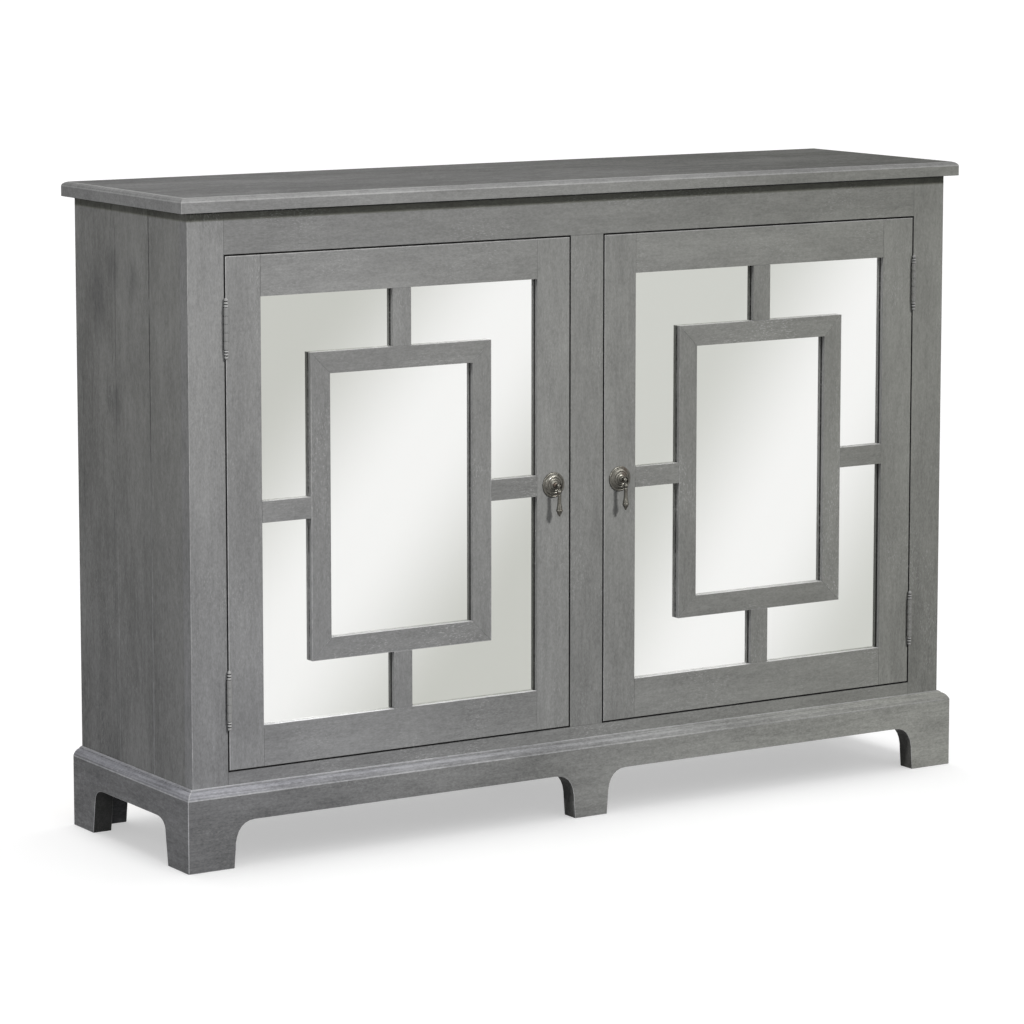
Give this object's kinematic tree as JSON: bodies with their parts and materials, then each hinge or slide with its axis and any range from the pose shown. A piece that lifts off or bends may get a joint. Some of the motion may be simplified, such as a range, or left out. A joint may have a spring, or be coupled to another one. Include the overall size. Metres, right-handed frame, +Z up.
{
  "type": "chiffonier",
  "caption": "Low painted wood cupboard on a bracket-footed plinth, with inset mirrored doors behind a square fret, butt hinges and drop handles.",
  "frame": {"origin": "on the floor under the middle of the whole piece, from end to end and from the handles to the back of the top board", "axes": "+X to the right along the front, +Y from the doors towards the back, +Z up"},
  "size_m": [1.371, 0.384, 0.9623],
  "materials": {
    "painted_wood": "grey brushed paint, rubbed pale along the edges",
    "inner_wood": "grey paint, satin",
    "back_board": "bare board",
    "mirror_glass": "polished",
    "hinge_metal": "painted over, worn bright on the beads",
    "handle_metal": "antique pewter plating",
    "catch_metal": "black lacquer"
  },
  "bodies": {
    "carcass": {"top_board": "painted_wood", "side_left": "painted_wood", "side_right": "painted_wood", "back_panel": "back_board", "floor_board": "inner_wood", "shelf": "inner_wood", "frame_stile_left": "painted_wood", "frame_stile_right": "painted_wood", "frame_centre_stile": "painted_wood", "frame_top_rail": "painted_wood", "frame_bottom_rail": "painted_wood", "plinth_front": "painted_wood", "plinth_left": "painted_wood", "plinth_right": "painted_wood", "plinth_back": "painted_wood", "catch_left": "catch_metal", "catch_right": "catch_metal", "hinge_left_top_frame_leaf": "hinge_metal", "hinge_left_bottom_frame_leaf": "hinge_metal", "hinge_right_top_frame_leaf": "hinge_metal", "hinge_right_bottom_frame_leaf": "hinge_metal"},
    "door_left": {"door_left_hinge_stile": "painted_wood", "door_left_lock_stile": "painted_wood", "door_left_top_rail": "painted_wood", "door_left_bottom_rail": "painted_wood", "door_left_mirror": "mirror_glass", "door_left_mirror_backing": "back_board", "door_left_fret_top": "painted_wood", "door_left_fret_bottom": "painted_wood", "door_left_fret_hinge": "painted_wood", "door_left_fret_lock": "painted_wood", "door_left_bar_top": "painted_wood", "door_left_bar_bottom": "painted_wood", "door_left_bar_hinge": "painted_wood", "door_left_bar_lock": "painted_wood", "hinge_left_top_door_leaf": "hinge_metal", "hinge_left_bottom_door_leaf": "hinge_metal", "handle_left_rosette": "handle_metal", "handle_left_post": "handle_metal"},
    "door_right": {"door_right_hinge_stile": "painted_wood", "door_right_lock_stile": "painted_wood", "door_right_top_rail": "painted_wood", "door_right_bottom_rail": "painted_wood", "door_right_mirror": "mirror_glass", "door_right_mirror_backing": "back_board", "door_right_fret_top": "painted_wood", "door_right_fret_bottom": "painted_wood", "door_right_fret_hinge": "painted_wood", "door_right_fret_lock": "painted_wood", "door_right_bar_top": "painted_wood", "door_right_bar_bottom": "painted_wood", "door_right_bar_hinge": "painted_wood", "door_right_bar_lock": "painted_wood", "hinge_right_top_door_leaf": "hinge_metal", "hinge_right_bottom_door_leaf": "hinge_metal", "handle_right_rosette": "handle_metal", "handle_right_post": "handle_metal"},
    "handle_pendant_left": {"pendant_left": "handle_metal"},
    "handle_pendant_right": {"pendant_right": "handle_metal"}
  },
  "joints": [
    {"name": "door_left_hinge", "type": "hinge", "parent": "carcass", "child": "door_left", "pos_m": [-0.6095, -0.1737, 0.508], "axis": [0, 0, -1], "range_deg": [0, 180]},
    {"name": "door_right_hinge", "type": "hinge", "parent": "carcass", "child": "door_right", "pos_m": [0.6095, -0.1737, 0.508], "axis": [0, 0, 1], "range_deg": [0, 180]},
    {"name": "pendant_left_swing", "type": "hinge", "parent": "door_left", "child": "handle_pendant_left", "pos_m": [-0.05925, -0.187, 0.508], "axis": [-1, 0, 0], "range_deg": [-15, 90]},
    {"name": "pendant_right_swing", "type": "hinge", "parent": "door_right", "child": "handle_pendant_right", "pos_m": [0.05925, -0.187, 0.508], "axis": [-1, 0, 0], "range_deg": [-15, 90]}
  ]
}
